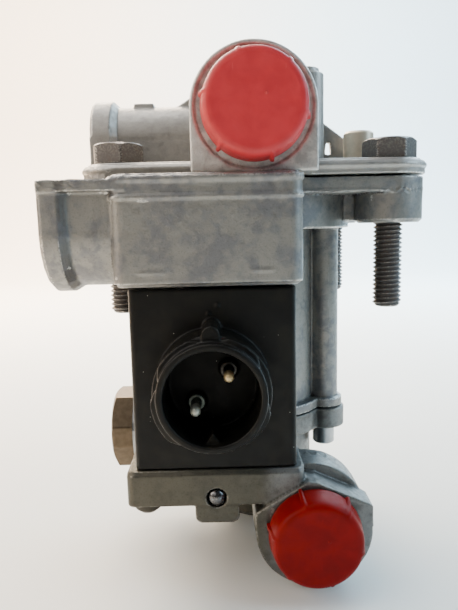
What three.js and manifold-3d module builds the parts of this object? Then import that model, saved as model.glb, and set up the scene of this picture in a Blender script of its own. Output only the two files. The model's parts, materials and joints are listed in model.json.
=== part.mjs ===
// A pneumatic relay valve with a pilot solenoid, in millimetres.
// Frame: +X right, +Y to the rear, +Z up. The origin lies midway between the two side bolts,
// level with the undersides of their bosses, where the valve seats on its bracket.
import * as THREE from "three";
import { mergeVertices } from "three/addons/utils/BufferGeometryUtils.js";
import Module from "manifold-3d";

const wasm = await Module();
wasm.setup();

// ---------------------------------------------------------------- driving dimensions
const GAP = 0.3; // clearance between neighbouring pieces
const BELOW_ALL = -100; // below and above every piece, for cutters that pass right through
const ABOVE_ALL = 60;

const AXIS = [2, 18]; // relay piston, inlet valve and lower body share this vertical axis (x, y)
const COIL = [-12.5, -14.5]; // vertical axis of the solenoid (x, y)

// Flanges and the three through bolts
const SIDE_BOLT = 37.5; // each side bolt's distance from the origin along X
const REAR_BOLT = [30, 44];
const BOLT_CENTRES = [[-SIDE_BOLT, 0], [SIDE_BOLT, 0], REAR_BOLT];
const BOLT_RADIUS = 4; // M8
const BOLT_HOLE = BOLT_RADIUS + 0.4;
const HEX_HEAD = { flats: 13, height: 5.3 };
const BOLT_TIP = -23.6;
const BOLT_TURNS = { left: 0.78, right: -0.19, rear: 0.3 }; // how far each head is turned, in radians
const COVER = { bottom: 12.9, groove: 14.5, step: 14.9, top: 17.2, ear: 10, round: 28.5 };
const GASKET_GAP = 0.1;
const BODY = { bottom: 8.2, top: 12.3, ear: 9.1, round: 27.6 };

// Relay chamber
const CHAMBER = { radius: 24.3, floor: 2, roof: 15.2 };
const PISTON = { radius: 23.9, bottom: 8.4, top: 13.2, stem: 4.5, stemEnd: -8, hollowTop: 4 };
const PISTON_GROOVE = { bottom: 9.6, top: 12, depth: 2.6 };
const PISTON_RECESS = { outer: 17, inner: 8, depth: 1.6 };

// Lower barrel of the body, its screw columns and the parting plane
const BARREL = { radius: 17, bore: 13, roof: -8, flangeTop: -53.6, flange: 19.5 };
const PARTING = { body: -56.4, lower: -56.8 };
const SCREW_CIRCLE = 20.3;
const SCREW_ANGLES = [-14, 106, 226].map(THREE.MathUtils.degToRad);
const SCREW_COLUMN = 4.3;
const SCREW = { shank: 2, headRadius: 3.4, seat: -63, headEnd: -69.2, top: -46 };

// Inlet valve
const SEAT = { hole: 8, lip: 9.5, bottom: -9.5 };
const VALVE = { top: -9.8, face: 10.5, stem: 4.5, hollow: 2.6, end: -55 };
const VALVE_SPRING = { radius: 8.8, wire: 1.6, bottom: -39.5, top: -13.5, turns: 6 };
const GUIDE = { radius: 12.7, top: -38, bottom: -50 };
const GUIDE_GROOVE = { bottom: -45.2, top: -42.8, depth: 1.8 };
const GUIDE_RECESS = { outer: 10.6, inner: 7, depth: 1.8 };
const SNAP_RING = { bottom: -52, top: -50.9, slot: 5 };

// Front box of the body and its side port, a bore in a U section
const FRONT_BOX = { left: -35.6, right: 9.9, front: -28, bottom: -14, lip: 10.8, top: 12.6 };
const SIDE_PORT = { y: -13.4, z: -1.3, radius: 14.4, neck: 13, bore: 7.5, end: -52.4, flat: 11.5 };

// Upper housing: port boss to the front, column behind it, stub port to the left
const TOP_PORT = { x: -1.1, z: 27.8, half: 15.4, front: -22, bore: 10.2, spot: 14.4 };
const COLUMN = { left: -8, right: 19.6, front: -2, rear: 36, top: 42.4 };
const STUB_PORT = { y: 20, z: 26.5, radius: 9.9, collar: 11.7, bore: 7.5, end: -47.2 };
const STUB_PAD = { left: -35, right: -29, half: 4, proud: 0.7 };
const STUB_RIB = { half: 3, profile: [[-24, 35], [-12, 35], [-12, 43], [-16, 40]] }; // x, z
const COVER_WEB = { front: 22, rear: 25, profile: [[19, 34.4], [19, 15], [41, 15], [41, 18]] }; // x, z
const COVER_WEB_HOLE = [[23.7, 21.6], [25.7, 21.6], [25.3, 25.4], [24.1, 25.4]]; // x, z
const DOWEL = { x: 32.5, y: 15, radius: 4.5, spigot: 3, top: 27.2 };

// Solenoid block and its bayonet connector
const BLOCK = { left: -32.5, right: 8.2, front: -26, rear: -3.4, bottom: -60, top: -14.6 };
const PLUG = { x: -12.5, z: -37.9, hub: 13.8, barrel: 12.6, socket: 11, tab: 2.1 };
const PLUG_DEPTH = { hubFront: -36, front: -40, floor: -27, tabFront: -37.4 };
const PIN = { tip: -36.6, radius: 1.3, collar: 2 };
const PIN_OFFSET = 3.95; // each contact pin lies this far left and down, or right and up
const COIL_ROOM = { radius: 10, top: -18 };
const BOBBIN = { radius: 9.6, bore: 5.1, bottom: -55.6, top: -18.4, spool: 6.3, flange: 1.6 };
const WINDING = { outer: 9.2, inner: 6.6, bottom: -53.7, top: -20.3 };
const POLE = { radius: 4, bottom: -56, top: -38, base: 8.6, baseBottom: -59 };
const TUBE = { outer: 4.7, inner: 4.3, bottom: -55.7, top: -14.9, collar: 6, collarHeight: 0.8 };
const ARMATURE = { radius: 4, bottom: -36.4, top: -15.6 };
const ARMATURE_SEAL = { radius: 2.2, bottom: -16.9, top: -14.6 };
const ARMATURE_SPRING = { radius: 1.5, wire: 0.6, bottom: -41.7, top: -33.3, turns: 6, pocket: 2.2 };

// Lower housing: shelf under the block, port boss to the front, plug boss to the left
const SHELF = { left: -34.9, right: 10, front: -27, rear: 8, bottom: -69.5, top: -61.2, rim: -60.3 };
const LOW_PORT = { x: 12.2, z: -76.7, half: 14.8, front: -28, bore: 9.3, deep: 8 };
const BOWL = { radius: 15.8, bottom: -90, cavity: 11, floor: -84 };
const SIDE_PLUG = { y: 13, z: -62.2, boss: 12.6, face: -36, flats: 22, thread: 9, headEnd: -44.1 };
const PLUG_PEDESTAL = { left: -30, right: -8, front: 4, rear: 24, bottom: -74.5 };
const PLUG_PASSAGE = { z: -72, radius: 2.5 };
const LUG = { left: -17.8, right: -6.6, bottom: -74.3, top: -67, rear: -12 };
const BALL = { x: -12.3, z: -67.6, radius: 2.5, y: -25.2, gap: 0.08 };
const SHELF_SCREW = { x: -30.5, y: -20, shank: 2.2, headRadius: 3.9, headEnd: -73.8, top: -40 };

// ---------------------------------------------------------------- geometry helpers
const DIRECTIONS = {
  // Where a shape's own x, y and its extrusion go
  X: [new THREE.Vector3(0, 1, 0), new THREE.Vector3(0, 0, 1), new THREE.Vector3(1, 0, 0)],
  Y: [new THREE.Vector3(1, 0, 0), new THREE.Vector3(0, 0, 1), new THREE.Vector3(0, -1, 0)],
  Z: [new THREE.Vector3(1, 0, 0), new THREE.Vector3(0, 1, 0), new THREE.Vector3(0, 0, 1)],
};

// Turns geometry made along its own +Z so that it runs along the named axis.
function turnTo(axis, geometry) {
  return geometry.applyMatrix4(new THREE.Matrix4().makeBasis(...DIRECTIONS[axis]));
}

// A closed three.js geometry as a manifold-3d solid.
function solid(geometry) {
  const bare = geometry.clone();
  bare.deleteAttribute("normal");
  bare.deleteAttribute("uv");
  const merged = mergeVertices(bare, 1e-4);
  const corners = merged.index.array;
  const triangles = [];
  for (let i = 0; i < corners.length; i += 3) {
    const [a, b, c] = corners.slice(i, i + 3);
    if (a !== b && b !== c && c !== a) triangles.push(a, b, c);
  }
  return new wasm.Manifold(new wasm.Mesh({
    numProp: 3,
    vertProperties: new Float32Array(merged.attributes.position.array),
    triVerts: new Uint32Array(triangles),
  }));
}

function join(first, ...rest) {
  return rest.reduce((sum, piece) => sum.add(piece), first);
}

function cut(first, ...tools) {
  return tools.reduce((left, tool) => left.subtract(tool), first);
}

// A flat shape pushed along an axis from one coordinate to another.
function extrude(axis, shape, from, to, curveSegments = 5) {
  const depth = to - from;
  const geometry = new THREE.ExtrudeGeometry(shape, { depth, bevelEnabled: false, curveSegments });
  geometry.translate(0, 0, axis === "Y" ? -to : from);
  return solid(turnTo(axis, geometry));
}

// A solid of revolution about an axis that passes through [u, v]. Its profile lists
// [coordinate along the axis, radius] from the low end to the high end.
function turned(axis, [u, v], profile, sides = 24) {
  const closed = [[profile[0][0], 0], ...profile, [profile.at(-1)[0], 0]];
  const points = closed.map(([along, radius]) => new THREE.Vector2(radius, along));
  if (axis === "Y") {
    points.reverse();
    points.forEach((point) => point.setY(-point.y));
  }
  const geometry = new THREE.LatheGeometry(points, sides);
  geometry.rotateX(Math.PI / 2);
  geometry.translate(u, v, 0);
  return solid(turnTo(axis, geometry));
}

// A round rod along an axis; its centre is given in the other two coordinates.
function rod(axis, centre, radius, from, to, sides = 24) {
  return turned(axis, centre, [[from, radius], [to, radius]], sides);
}

// A ring of rectangular section, along an axis.
function ring(axis, centre, outer, inner, from, to, sides = 24) {
  return cut(rod(axis, centre, outer, from, to, sides), rod(axis, centre, inner, from - 1, to + 1, sides));
}

// An O-ring lying flat round a vertical axis.
function oRing([x, y], radius, thickness, z, sides = 28) {
  const geometry = new THREE.TorusGeometry(radius, thickness / 2, 6, sides);
  geometry.translate(x, y, z);
  return solid(geometry);
}

function block(x0, x1, y0, y1, z0, z1) {
  const geometry = new THREE.BoxGeometry(x1 - x0, y1 - y0, z1 - z0);
  geometry.translate((x0 + x1) / 2, (y0 + y1) / 2, (z0 + z1) / 2);
  return solid(geometry);
}

// A rectangle with rounded corners, by its edges.
function roundedRectangle(u0, u1, v0, v1, radius) {
  const shape = new THREE.Shape();
  shape.absarc(u1 - radius, v0 + radius, radius, -Math.PI / 2, 0);
  shape.absarc(u1 - radius, v1 - radius, radius, 0, Math.PI / 2);
  shape.absarc(u0 + radius, v1 - radius, radius, Math.PI / 2, Math.PI);
  shape.absarc(u0 + radius, v0 + radius, radius, Math.PI, Math.PI * 1.5);
  return shape;
}

// The outline of a belt round several circles [u, v, radius], listed counter-clockwise.
function beltOutline(circles) {
  const shape = new THREE.Shape();
  const count = circles.length;
  const leaving = circles.map(([u, v, radius], i) => {
    const [nextU, nextV, nextRadius] = circles[(i + 1) % count];
    const reach = Math.hypot(nextU - u, nextV - v);
    return Math.atan2(nextV - v, nextU - u) - Math.acos((radius - nextRadius) / reach);
  });
  circles.forEach(([u, v, radius], i) => {
    const arriving = leaving[(i + count - 1) % count];
    const turn = THREE.MathUtils.euclideanModulo(leaving[i] - arriving, 2 * Math.PI);
    shape.absarc(u, v, radius, arriving, arriving + turn);
  });
  return shape;
}

// A round boss with straight sides down (or up) to a flat, as seen along its bore.
function bossOutline(u, v, radius, flat) {
  const shape = new THREE.Shape();
  const up = flat > v;
  if (up) {
    shape.absarc(u, v, radius, Math.PI, 2 * Math.PI);
    shape.lineTo(u + radius, flat);
    shape.lineTo(u - radius, flat);
  } else {
    shape.absarc(u, v, radius, 0, Math.PI);
    shape.lineTo(u - radius, flat);
    shape.lineTo(u + radius, flat);
  }
  return shape;
}

function polygon(points) {
  return new THREE.Shape(points.map(([u, v]) => new THREE.Vector2(u, v)));
}

function hexagon(flats, turn) {
  const corner = flats / Math.sqrt(3);
  const angles = [0, 1, 2, 3, 4, 5].map((i) => turn + (i * Math.PI) / 3);
  return angles.map((a) => [corner * Math.cos(a), corner * Math.sin(a)]);
}

function hexRod(axis, [u, v], flats, turn, from, to) {
  const corners = hexagon(flats, turn).map(([du, dv]) => [u + du, v + dv]);
  return extrude(axis, polygon(corners), from, to);
}

// ---------------------------------------------------------------- materials
function material(color, roughness, metalness) {
  return new THREE.MeshStandardMaterial({ color, roughness, metalness });
}

const CAST = material("#a7a49c", 0.5, 0.9);
const CAST_DARK = material("#8f897d", 0.55, 0.85);
const STEEL = material("#8a8a8a", 0.35, 1);
const BLACK_STEEL = material("#3b3835", 0.45, 0.8);
const PLATED = material("#7d705f", 0.4, 0.9);
const BRASS = material("#b79b5c", 0.35, 1);
const COPPER = material("#a8572f", 0.35, 1);
const BLACK_PLASTIC = material("#1c1b19", 0.45, 0);
const PALE_PLASTIC = material("#cfc8b4", 0.5, 0);
const RUBBER = material("#17171a", 0.8, 0);
const RED_PLASTIC = material("#b81f1c", 0.4, 0);

const valve = new THREE.Group();

// Adds one named piece to the valve.
function piece(name, shape, finish) {
  const { vertProperties, triVerts } = shape.getMesh();
  const geometry = new THREE.BufferGeometry();
  geometry.setAttribute("position", new THREE.BufferAttribute(vertProperties, 3));
  geometry.setIndex(new THREE.BufferAttribute(triVerts, 1));
  geometry.computeVertexNormals();
  const mesh = new THREE.Mesh(geometry, finish);
  mesh.name = name;
  valve.add(mesh);
}

// ---------------------------------------------------------------- shared outlines
// Flange outline: left ear, right ear, rear ear and the round of the relay chamber.
function flangeOutline(ear, round) {
  const [left, right, rear] = BOLT_CENTRES.map((centre) => [...centre, ear]);
  return beltOutline([left, right, rear, [...AXIS, round]]);
}

const SCREW_CENTRES = SCREW_ANGLES.map((angle) => [
  AXIS[0] + SCREW_CIRCLE * Math.cos(angle),
  AXIS[1] + SCREW_CIRCLE * Math.sin(angle),
]);

const boltHoles = BOLT_CENTRES.map((centre) => rod("Z", centre, BOLT_HOLE, BELOW_ALL, ABOVE_ALL, 24));

// ---------------------------------------------------------------- upper housing
function upperHousing() {
  const flangeTier = (inset, from, to) => (
    extrude("Z", flangeOutline(COVER.ear - inset, COVER.round - inset), from, to)
  );
  const flange = join(
    flangeTier(0.4, COVER.bottom, COVER.groove),
    flangeTier(1.1, COVER.groove - 0.1, COVER.step + 0.1),
    flangeTier(0, COVER.step, COVER.top - 1.4),
    flangeTier(0.5, COVER.step, COVER.top - 0.6),
    flangeTier(1.6, COVER.step, COVER.top),
  );

  const { x, z, half, front } = TOP_PORT;
  const portBoss = extrude("Y", bossOutline(x, z, half, COVER.bottom), front, 6, 24);
  const columnOutline = (inset) => roundedRectangle(
    COLUMN.left + inset, COLUMN.right - inset, COLUMN.front + inset, COLUMN.rear - inset, 4 - inset / 2,
  );
  const column = join(
    extrude("Z", columnOutline(0), COVER.step, COLUMN.top - 1.5),
    extrude("Z", columnOutline(1.2), COVER.step, COLUMN.top),
  );

  const stub = STUB_PORT;
  const tube = extrude("X", bossOutline(stub.y, stub.z, stub.radius, COVER.step), stub.end, COLUMN.left + 2);
  const collarRoot = stub.end + 6;
  const collar = join(
    turned("X", [stub.y, stub.z], [
      [stub.end, stub.collar - 0.7],
      [stub.end + 0.7, stub.collar],
      [collarRoot, stub.collar],
      [collarRoot + 2, stub.radius - 0.1],
    ]),
    block(stub.end, collarRoot, stub.y - stub.collar, stub.y + stub.collar, COVER.step, stub.z),
  );
  const { left, right, half: padHalf, proud } = STUB_PAD;
  const pad = block(left, right, stub.y - padHalf, stub.y + padHalf, stub.z, stub.z + stub.radius + proud);
  const stubRib = extrude("Y", polygon(STUB_RIB.profile), stub.y - STUB_RIB.half, stub.y + STUB_RIB.half);

  const web = extrude("Y", polygon(COVER_WEB.profile), COVER_WEB.front, COVER_WEB.rear);
  const webHole = extrude("Y", polygon(COVER_WEB_HOLE), COVER_WEB.front - 1, COVER_WEB.rear + 1);

  const frontBore = rod("Y", [x, z], TOP_PORT.bore, front - 1, front + 17);
  const spotface = rod("Y", [x, z], TOP_PORT.spot, front - 1, front + 0.6, 32);
  const frontPassage = rod("Y", [x, z], 5, front, AXIS[1], 20);
  const stubBore = rod("X", [stub.y, stub.z], stub.bore, stub.end - 1, stub.end + 18);
  const stubPassage = rod("X", [stub.y, stub.z], 4, stub.end, AXIS[0], 20);
  const chamberRoof = rod("Z", AXIS, CHAMBER.radius, COVER.bottom - 1, CHAMBER.roof, 40);
  const controlPassage = rod("Z", AXIS, 4, CHAMBER.roof - 1, z, 20);
  const dowelHole = rod("Z", [DOWEL.x, DOWEL.y], DOWEL.spigot + GAP, COVER.bottom - 1, COVER.top + 1, 20);

  return cut(
    join(flange, portBoss, column, tube, collar, pad, stubRib, web),
    webHole, frontBore, spotface, frontPassage, stubBore, stubPassage, chamberRoof, controlPassage, dowelHole,
    ...boltHoles,
  );
}

// ---------------------------------------------------------------- middle housing
// A straight web from the main axis out to a point.
function radialWeb([x, y], width, from, to) {
  const reach = Math.hypot(x - AXIS[0], y - AXIS[1]);
  const web = new THREE.BoxGeometry(reach, width, to - from);
  web.translate(reach / 2, 0, (from + to) / 2);
  web.rotateZ(Math.atan2(y - AXIS[1], x - AXIS[0]));
  web.translate(...AXIS, 0);
  return solid(web);
}

function middleHousing() {
  const flange = extrude("Z", flangeOutline(BODY.ear, BODY.round), BODY.bottom, BODY.top);
  const ears = BOLT_CENTRES.map((centre) => (
    turned("Z", centre, [[0, BODY.ear - 0.8], [0.8, BODY.ear], [BODY.top, BODY.ear]], 32)
  ));
  const chamberWall = rod("Z", AXIS, BODY.round, -1.2, BODY.top, 32);
  const earWebs = BOLT_CENTRES.map((centre) => radialWeb(centre, 4, 0.8, BODY.bottom + 1));

  const barrel = rod("Z", AXIS, BARREL.radius, PARTING.body, 0, 32);
  const columns = SCREW_CENTRES.map((centre) => rod("Z", centre, SCREW_COLUMN, PARTING.body, 0, 24));
  const lowerFlange = join(
    rod("Z", AXIS, BARREL.flange, PARTING.body, BARREL.flangeTop, 32),
    ...SCREW_CENTRES.map((centre) => rod("Z", centre, 5.6, PARTING.body, BARREL.flangeTop, 24)),
  );
  const columnWebs = SCREW_CENTRES.map((centre) => radialWeb(centre, 6, PARTING.body, 0));

  const box = FRONT_BOX;
  const boxOutline = (proud) => roundedRectangle(
    box.left - proud, box.right + proud, box.front - proud, 3, 3 + proud / 2,
  );
  const frontBox = join(
    extrude("Z", boxOutline(0), box.bottom + 0.8, box.top - 0.6),
    extrude("Z", boxOutline(-0.8), box.bottom, box.top),
    extrude("Z", boxOutline(0.4), box.lip, box.lip + 1.3),
    extrude("Z", boxOutline(0.4), 6.8, 7.5),
  );

  const port = SIDE_PORT;
  const collarRoot = port.end + 5.4;
  const portStep = (radius, flat, from, to) => (
    extrude("X", bossOutline(port.y, port.z, radius, flat), from, to)
  );
  const shoulder = [0, 1, 2, 3].map((step) => (
    portStep(port.radius - (step + 1) * 0.3, port.flat - 0.6, collarRoot - 1, collarRoot + 0.3 + step * 0.5)
  ));
  const sidePort = join(
    portStep(port.radius - 0.7, port.flat, port.end, port.end + 1),
    portStep(port.radius, port.flat, port.end + 0.7, collarRoot - 0.3),
    ...shoulder,
    portStep(port.neck, port.flat - 0.6, collarRoot - 1, box.left + 8),
    block(port.end + 0.3, box.left + 4, port.y - port.radius - 0.4, BODY.ear - 2, port.flat - 2.8, port.flat),
  );

  const chamber = rod("Z", AXIS, CHAMBER.radius, CHAMBER.floor, BODY.top + 8, 32);
  const barrelBore = rod("Z", AXIS, BARREL.bore, PARTING.body - 1, BARREL.roof, 32);
  const seatLip = ring("Z", AXIS, SEAT.lip, SEAT.hole, SEAT.bottom, BARREL.roof + 0.5);
  const seatHole = rod("Z", AXIS, SEAT.hole, BARREL.roof - 4, CHAMBER.floor + 1);
  const clip = { from: SNAP_RING.bottom - 0.4, to: SNAP_RING.top + GAP };
  const clipGroove = ring("Z", AXIS, BARREL.bore + 1, BARREL.bore - 0.5, clip.from, clip.to, 32);
  const portBore = rod("X", [port.y, port.z], port.bore, port.end - 1, port.end + 18);
  const portPassage = rod("X", [port.y, port.z], 3.5, port.end, COIL[0] + 6, 20);
  const pilotDrilling = rod("Z", COIL, 1.6, box.bottom - 1, port.z, 16);
  const screwHoles = SCREW_CENTRES.map((centre) => (
    rod("Z", centre, SCREW.shank + GAP, BELOW_ALL, SCREW.top + 1, 16)
  ));
  const seatRear = BLOCK.rear + 0.4;
  const blockSeat = block(box.left - 1, box.right + 1, box.front - 2, seatRear, BELOW_ALL, box.bottom);
  const coverSeat = extrude("Z", flangeOutline(COVER.ear + 1, COVER.round + 0.5), BODY.top, BODY.top + 4);

  const barrelCasting = join(barrel, ...columns, lowerFlange, ...columnWebs);
  const casting = join(flange, ...ears, chamberWall, ...earWebs, barrelCasting, frontBox, sidePort);
  const bored = cut(casting, chamber, barrelBore, seatHole, blockSeat, coverSeat);
  return cut(
    join(bored, seatLip),
    clipGroove, portBore, portPassage, pilotDrilling, ...screwHoles, ...boltHoles,
  );
}

// ---------------------------------------------------------------- lower housing
function lowerHousing() {
  const flange = join(
    rod("Z", AXIS, BARREL.flange, SCREW.seat, PARTING.lower, 32),
    ...SCREW_CENTRES.map((centre) => rod("Z", centre, 6.3, SCREW.seat, PARTING.lower, 24)),
  );
  const bowl = turned("Z", AXIS, [
    [BOWL.bottom, BOWL.radius - 2],
    [BOWL.bottom + 2, BOWL.radius],
    [SCREW.seat + 1.5, BOWL.radius],
  ], 32);

  const { x, z, half, front, deep } = LOW_PORT;
  const roof = new THREE.Shape();
  roof.absarc(x, z, half, Math.PI, 2 * Math.PI);
  roof.lineTo(x + half, z + 6.4);
  roof.lineTo(x + half - 1.2, z + 7.2);
  roof.lineTo(x + 0.8, z + 13);
  roof.lineTo(x - 1.6, z + 13.2);
  roof.lineTo(x - half, z + 5.2);
  const bossRear = front + deep;
  const portBoss = join(
    extrude("Y", roof, front, bossRear, 10),
    turned("Y", [x, z], [
      [bossRear - 1, half + 0.2],
      [bossRear + 9, half],
      [bossRear + 12, half - 1.6],
      [bossRear + 13.4, half - 5],
      [bossRear + 13.5, 8],
      [6, 8],
    ], 32),
  );

  const shelfOutline = (inset) => (
    roundedRectangle(SHELF.left + inset, SHELF.right, SHELF.front + inset, SHELF.rear, 2)
  );
  const shelf = join(
    extrude("Z", shelfOutline(0), SHELF.bottom, SHELF.top),
    extrude("Z", shelfOutline(0.5), SHELF.bottom, SHELF.rim),
  );
  const lugOutline = roundedRectangle(LUG.left, LUG.right, LUG.bottom, LUG.top, 1.8);
  const lug = extrude("Y", lugOutline, SHELF.front + 0.3, LUG.rear);

  const plug = SIDE_PLUG;
  const foot = PLUG_PEDESTAL;
  const plugBoss = join(
    rod("X", [plug.y, plug.z], plug.boss, plug.face, foot.left + 10, 32),
    block(foot.left, foot.right, foot.front, foot.rear, foot.bottom, SHELF.rim),
  );

  const cavity = rod("Z", AXIS, BOWL.cavity, BOWL.floor, PARTING.lower + 1, 32);
  const ringGroove = ring("Z", AXIS, 16.1, 13.9, PARTING.lower - 1.6, PARTING.lower + 1, 32);
  const portBore = rod("Y", [x, z], LOW_PORT.bore, front - 1, front + 17);
  const portPassage = rod("Y", [x, z], 6, front, 16, 24);
  const plugBore = rod("X", [plug.y, plug.z], plug.thread + GAP, plug.face - 1, plug.face + 16);
  const plugPassage = rod("X", [plug.y, PLUG_PASSAGE.z], PLUG_PASSAGE.radius, plug.face + 10, AXIS[0], 16);
  const ballRear = BALL.y + BALL.radius + 1;
  const ballHole = rod("Y", [BALL.x, BALL.z], BALL.radius + BALL.gap, SHELF.front - 1, ballRear, 20);
  const screwHoles = SCREW_CENTRES.map((centre) => join(
    rod("Z", centre, SCREW.shank + GAP, BELOW_ALL, ABOVE_ALL, 16),
    rod("Z", centre, SCREW.headRadius + 0.8, BELOW_ALL, SCREW.seat, 20),
  ));
  const shelfScrewCentre = [SHELF_SCREW.x, SHELF_SCREW.y];
  const shelfScrewHole = rod("Z", shelfScrewCentre, SHELF_SCREW.shank + GAP, BELOW_ALL, ABOVE_ALL, 16);

  return cut(
    join(flange, bowl, portBoss, shelf, lug, plugBoss),
    cavity, ringGroove, portBore, portPassage, plugBore, plugPassage, ballHole, ...screwHoles, shelfScrewHole,
  );
}

// ---------------------------------------------------------------- relay piston and inlet valve
function relayPiston() {
  const groove = PISTON_GROOVE;
  const recess = PISTON_RECESS;
  return cut(
    join(
      rod("Z", AXIS, PISTON.radius, PISTON.bottom, PISTON.top, 32),
      rod("Z", AXIS, PISTON.stem, PISTON.stemEnd, PISTON.bottom + 1, 24),
    ),
    ring("Z", AXIS, PISTON.radius + 1, PISTON.radius - groove.depth, groove.bottom, groove.top, 32),
    ring("Z", AXIS, recess.outer, recess.inner, PISTON.top - recess.depth, PISTON.top + 1, 32),
    rod("Z", AXIS, VALVE.hollow, PISTON.stemEnd - 1, PISTON.hollowTop, 20),
  );
}

function inletValve() {
  return cut(
    join(
      rod("Z", AXIS, VALVE.face, VALVE.top - 3.4, VALVE.top - 1.5),
      rod("Z", AXIS, VALVE.stem, VALVE.end, VALVE.top - 2),
    ),
    rod("Z", AXIS, VALVE.hollow, VALVE.end - 1, VALVE.top + 1, 20),
  );
}

function valveGuide() {
  const groove = GUIDE_GROOVE;
  const recess = GUIDE_RECESS;
  return cut(
    rod("Z", AXIS, GUIDE.radius, GUIDE.bottom, GUIDE.top, 32),
    rod("Z", AXIS, VALVE.stem + 0.1, GUIDE.bottom - 1, GUIDE.top + 1, 32),
    ring("Z", AXIS, GUIDE.radius + 1, GUIDE.radius - groove.depth, groove.bottom, groove.top, 32),
    ring("Z", AXIS, recess.outer, recess.inner, GUIDE.top - recess.depth, GUIDE.top + 1, 32),
  );
}

function snapRing() {
  const { bottom, top, slot } = SNAP_RING;
  return cut(
    ring("Z", AXIS, BARREL.bore + 0.6, BARREL.bore - 1.8, bottom, top, 32),
    block(AXIS[0] - slot / 2, AXIS[0] + slot / 2, AXIS[1], AXIS[1] + BARREL.radius, bottom - 1, top + 1),
  );
}

// A helical spring round a vertical axis.
class Helix extends THREE.Curve {
  constructor(centre, radius, bottom, top, turns) {
    super();
    Object.assign(this, { centre, radius, bottom, top, turns });
  }

  getPoint(t, target = new THREE.Vector3()) {
    const angle = 2 * Math.PI * this.turns * t;
    const x = this.centre[0] + this.radius * Math.cos(angle);
    const y = this.centre[1] + this.radius * Math.sin(angle);
    return target.set(x, y, this.bottom + (this.top - this.bottom) * t);
  }
}

function spring(centre, { radius, wire, bottom, top, turns }) {
  const section = new THREE.Shape();
  section.absarc(0, 0, wire / 2, 0, 2 * Math.PI);
  const extrudePath = new Helix(centre, radius, bottom + wire / 2, top - wire / 2, turns);
  const steps = Math.round(turns * 10);
  return solid(new THREE.ExtrudeGeometry(section, { extrudePath, steps, curveSegments: 3 }));
}

// ---------------------------------------------------------------- solenoid
function pinCentre(side) {
  return [PLUG.x + side * PIN_OFFSET, PLUG.z + side * PIN_OFFSET];
}

function solenoidBlock() {
  const { left, right, front, rear, bottom, top } = BLOCK;
  const centre = [PLUG.x, PLUG.z];
  const tabTop = PLUG.z + PLUG.hub + 0.2;
  const casing = extrude("Z", roundedRectangle(left, right, front, rear, 1.5), bottom, top);
  const connector = join(
    rod("Y", centre, PLUG.hub, PLUG_DEPTH.hubFront, front + 1, 32),
    rod("Y", centre, PLUG.barrel, PLUG_DEPTH.front, PLUG_DEPTH.hubFront + 1, 32),
    extrude("Y", bossOutline(PLUG.x, tabTop, PLUG.tab, PLUG.z + 12), PLUG_DEPTH.tabFront, front + 1),
  );
  const key = extrude(
    "Y",
    polygon([[PLUG.x - 2.2, PLUG.z - 11.5], [PLUG.x + 2.2, PLUG.z - 11.5], [PLUG.x, PLUG.z - 8.4]]),
    PLUG_DEPTH.front + 2,
    PLUG_DEPTH.floor + 1,
  );
  const { floor } = PLUG_DEPTH;
  const pinBosses = [-1, 1].map((side) => rod("Y", pinCentre(side), 2.3, floor - 1, floor + 1, 20));
  const socket = rod("Y", centre, PLUG.socket, PLUG_DEPTH.front - 1, PLUG_DEPTH.floor, 32);
  const pinHoles = [-1, 1].map((side) => rod("Y", pinCentre(side), 1.6, PLUG_DEPTH.front, floor + 2, 20));
  const coilRoom = rod("Z", COIL, COIL_ROOM.radius, bottom - 1, COIL_ROOM.top, 32);
  const tubeHole = rod("Z", COIL, 5.4, COIL_ROOM.top - 2, top + 1, 28);
  const ringSeat = rod("Z", COIL, 8.4, top - 1.4, top + 1, 28);
  const screwCentre = [SHELF_SCREW.x, SHELF_SCREW.y];
  const screwHole = rod("Z", screwCentre, SHELF_SCREW.shank + GAP, bottom - 1, SHELF_SCREW.top + 1, 16);
  return cut(
    join(cut(join(casing, connector), socket), key, ...pinBosses),
    ...pinHoles, coilRoom, tubeHole, ringSeat, screwHole,
  );
}

function contactPin(side) {
  const { floor } = PLUG_DEPTH;
  const collar = floor - 1.3;
  return turned("Y", pinCentre(side), [
    [PIN.tip, 0.7],
    [PIN.tip + 0.8, PIN.radius],
    [collar - 0.8, PIN.radius],
    [collar - 0.8, PIN.collar],
    [collar, PIN.collar],
    [collar, PIN.radius],
    [floor + 1.6, PIN.radius],
  ], 16);
}

function coilBobbin() {
  const { radius, bore, bottom, top, spool, flange } = BOBBIN;
  return cut(
    rod("Z", COIL, radius, bottom, top, 36),
    ring("Z", COIL, radius + 1.4, spool, bottom + flange, top - flange, 36),
    rod("Z", COIL, bore, BELOW_ALL, ABOVE_ALL, 28),
  );
}

function coilWinding() {
  return ring("Z", COIL, WINDING.outer, WINDING.inner, WINDING.bottom, WINDING.top, 36);
}

function poleCore() {
  const { radius, bottom, top, base, baseBottom } = POLE;
  const { pocket, bottom: springBottom } = ARMATURE_SPRING;
  return cut(
    join(rod("Z", COIL, radius, bottom, top), rod("Z", COIL, base, baseBottom, bottom)),
    rod("Z", COIL, pocket, springBottom - GAP, top + 1, 20),
  );
}

function armatureSeal() {
  return rod("Z", COIL, ARMATURE_SEAL.radius, ARMATURE_SEAL.bottom, ARMATURE_SEAL.top, 20);
}

function armatureTube() {
  const { outer, inner, bottom, top, collar, collarHeight } = TUBE;
  return cut(
    join(rod("Z", COIL, outer, bottom, top), rod("Z", COIL, collar, top - collarHeight, top)),
    rod("Z", COIL, inner, BELOW_ALL, ABOVE_ALL),
  );
}

function armature() {
  const { pocket, top: springTop } = ARMATURE_SPRING;
  return cut(
    rod("Z", COIL, ARMATURE.radius, ARMATURE.bottom, ARMATURE.top),
    rod("Z", COIL, pocket, ARMATURE.bottom - 1, springTop + GAP, 20),
    rod("Z", COIL, ARMATURE_SEAL.radius + GAP, ARMATURE_SEAL.bottom - GAP, ABOVE_ALL, 20),
  );
}

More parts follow.
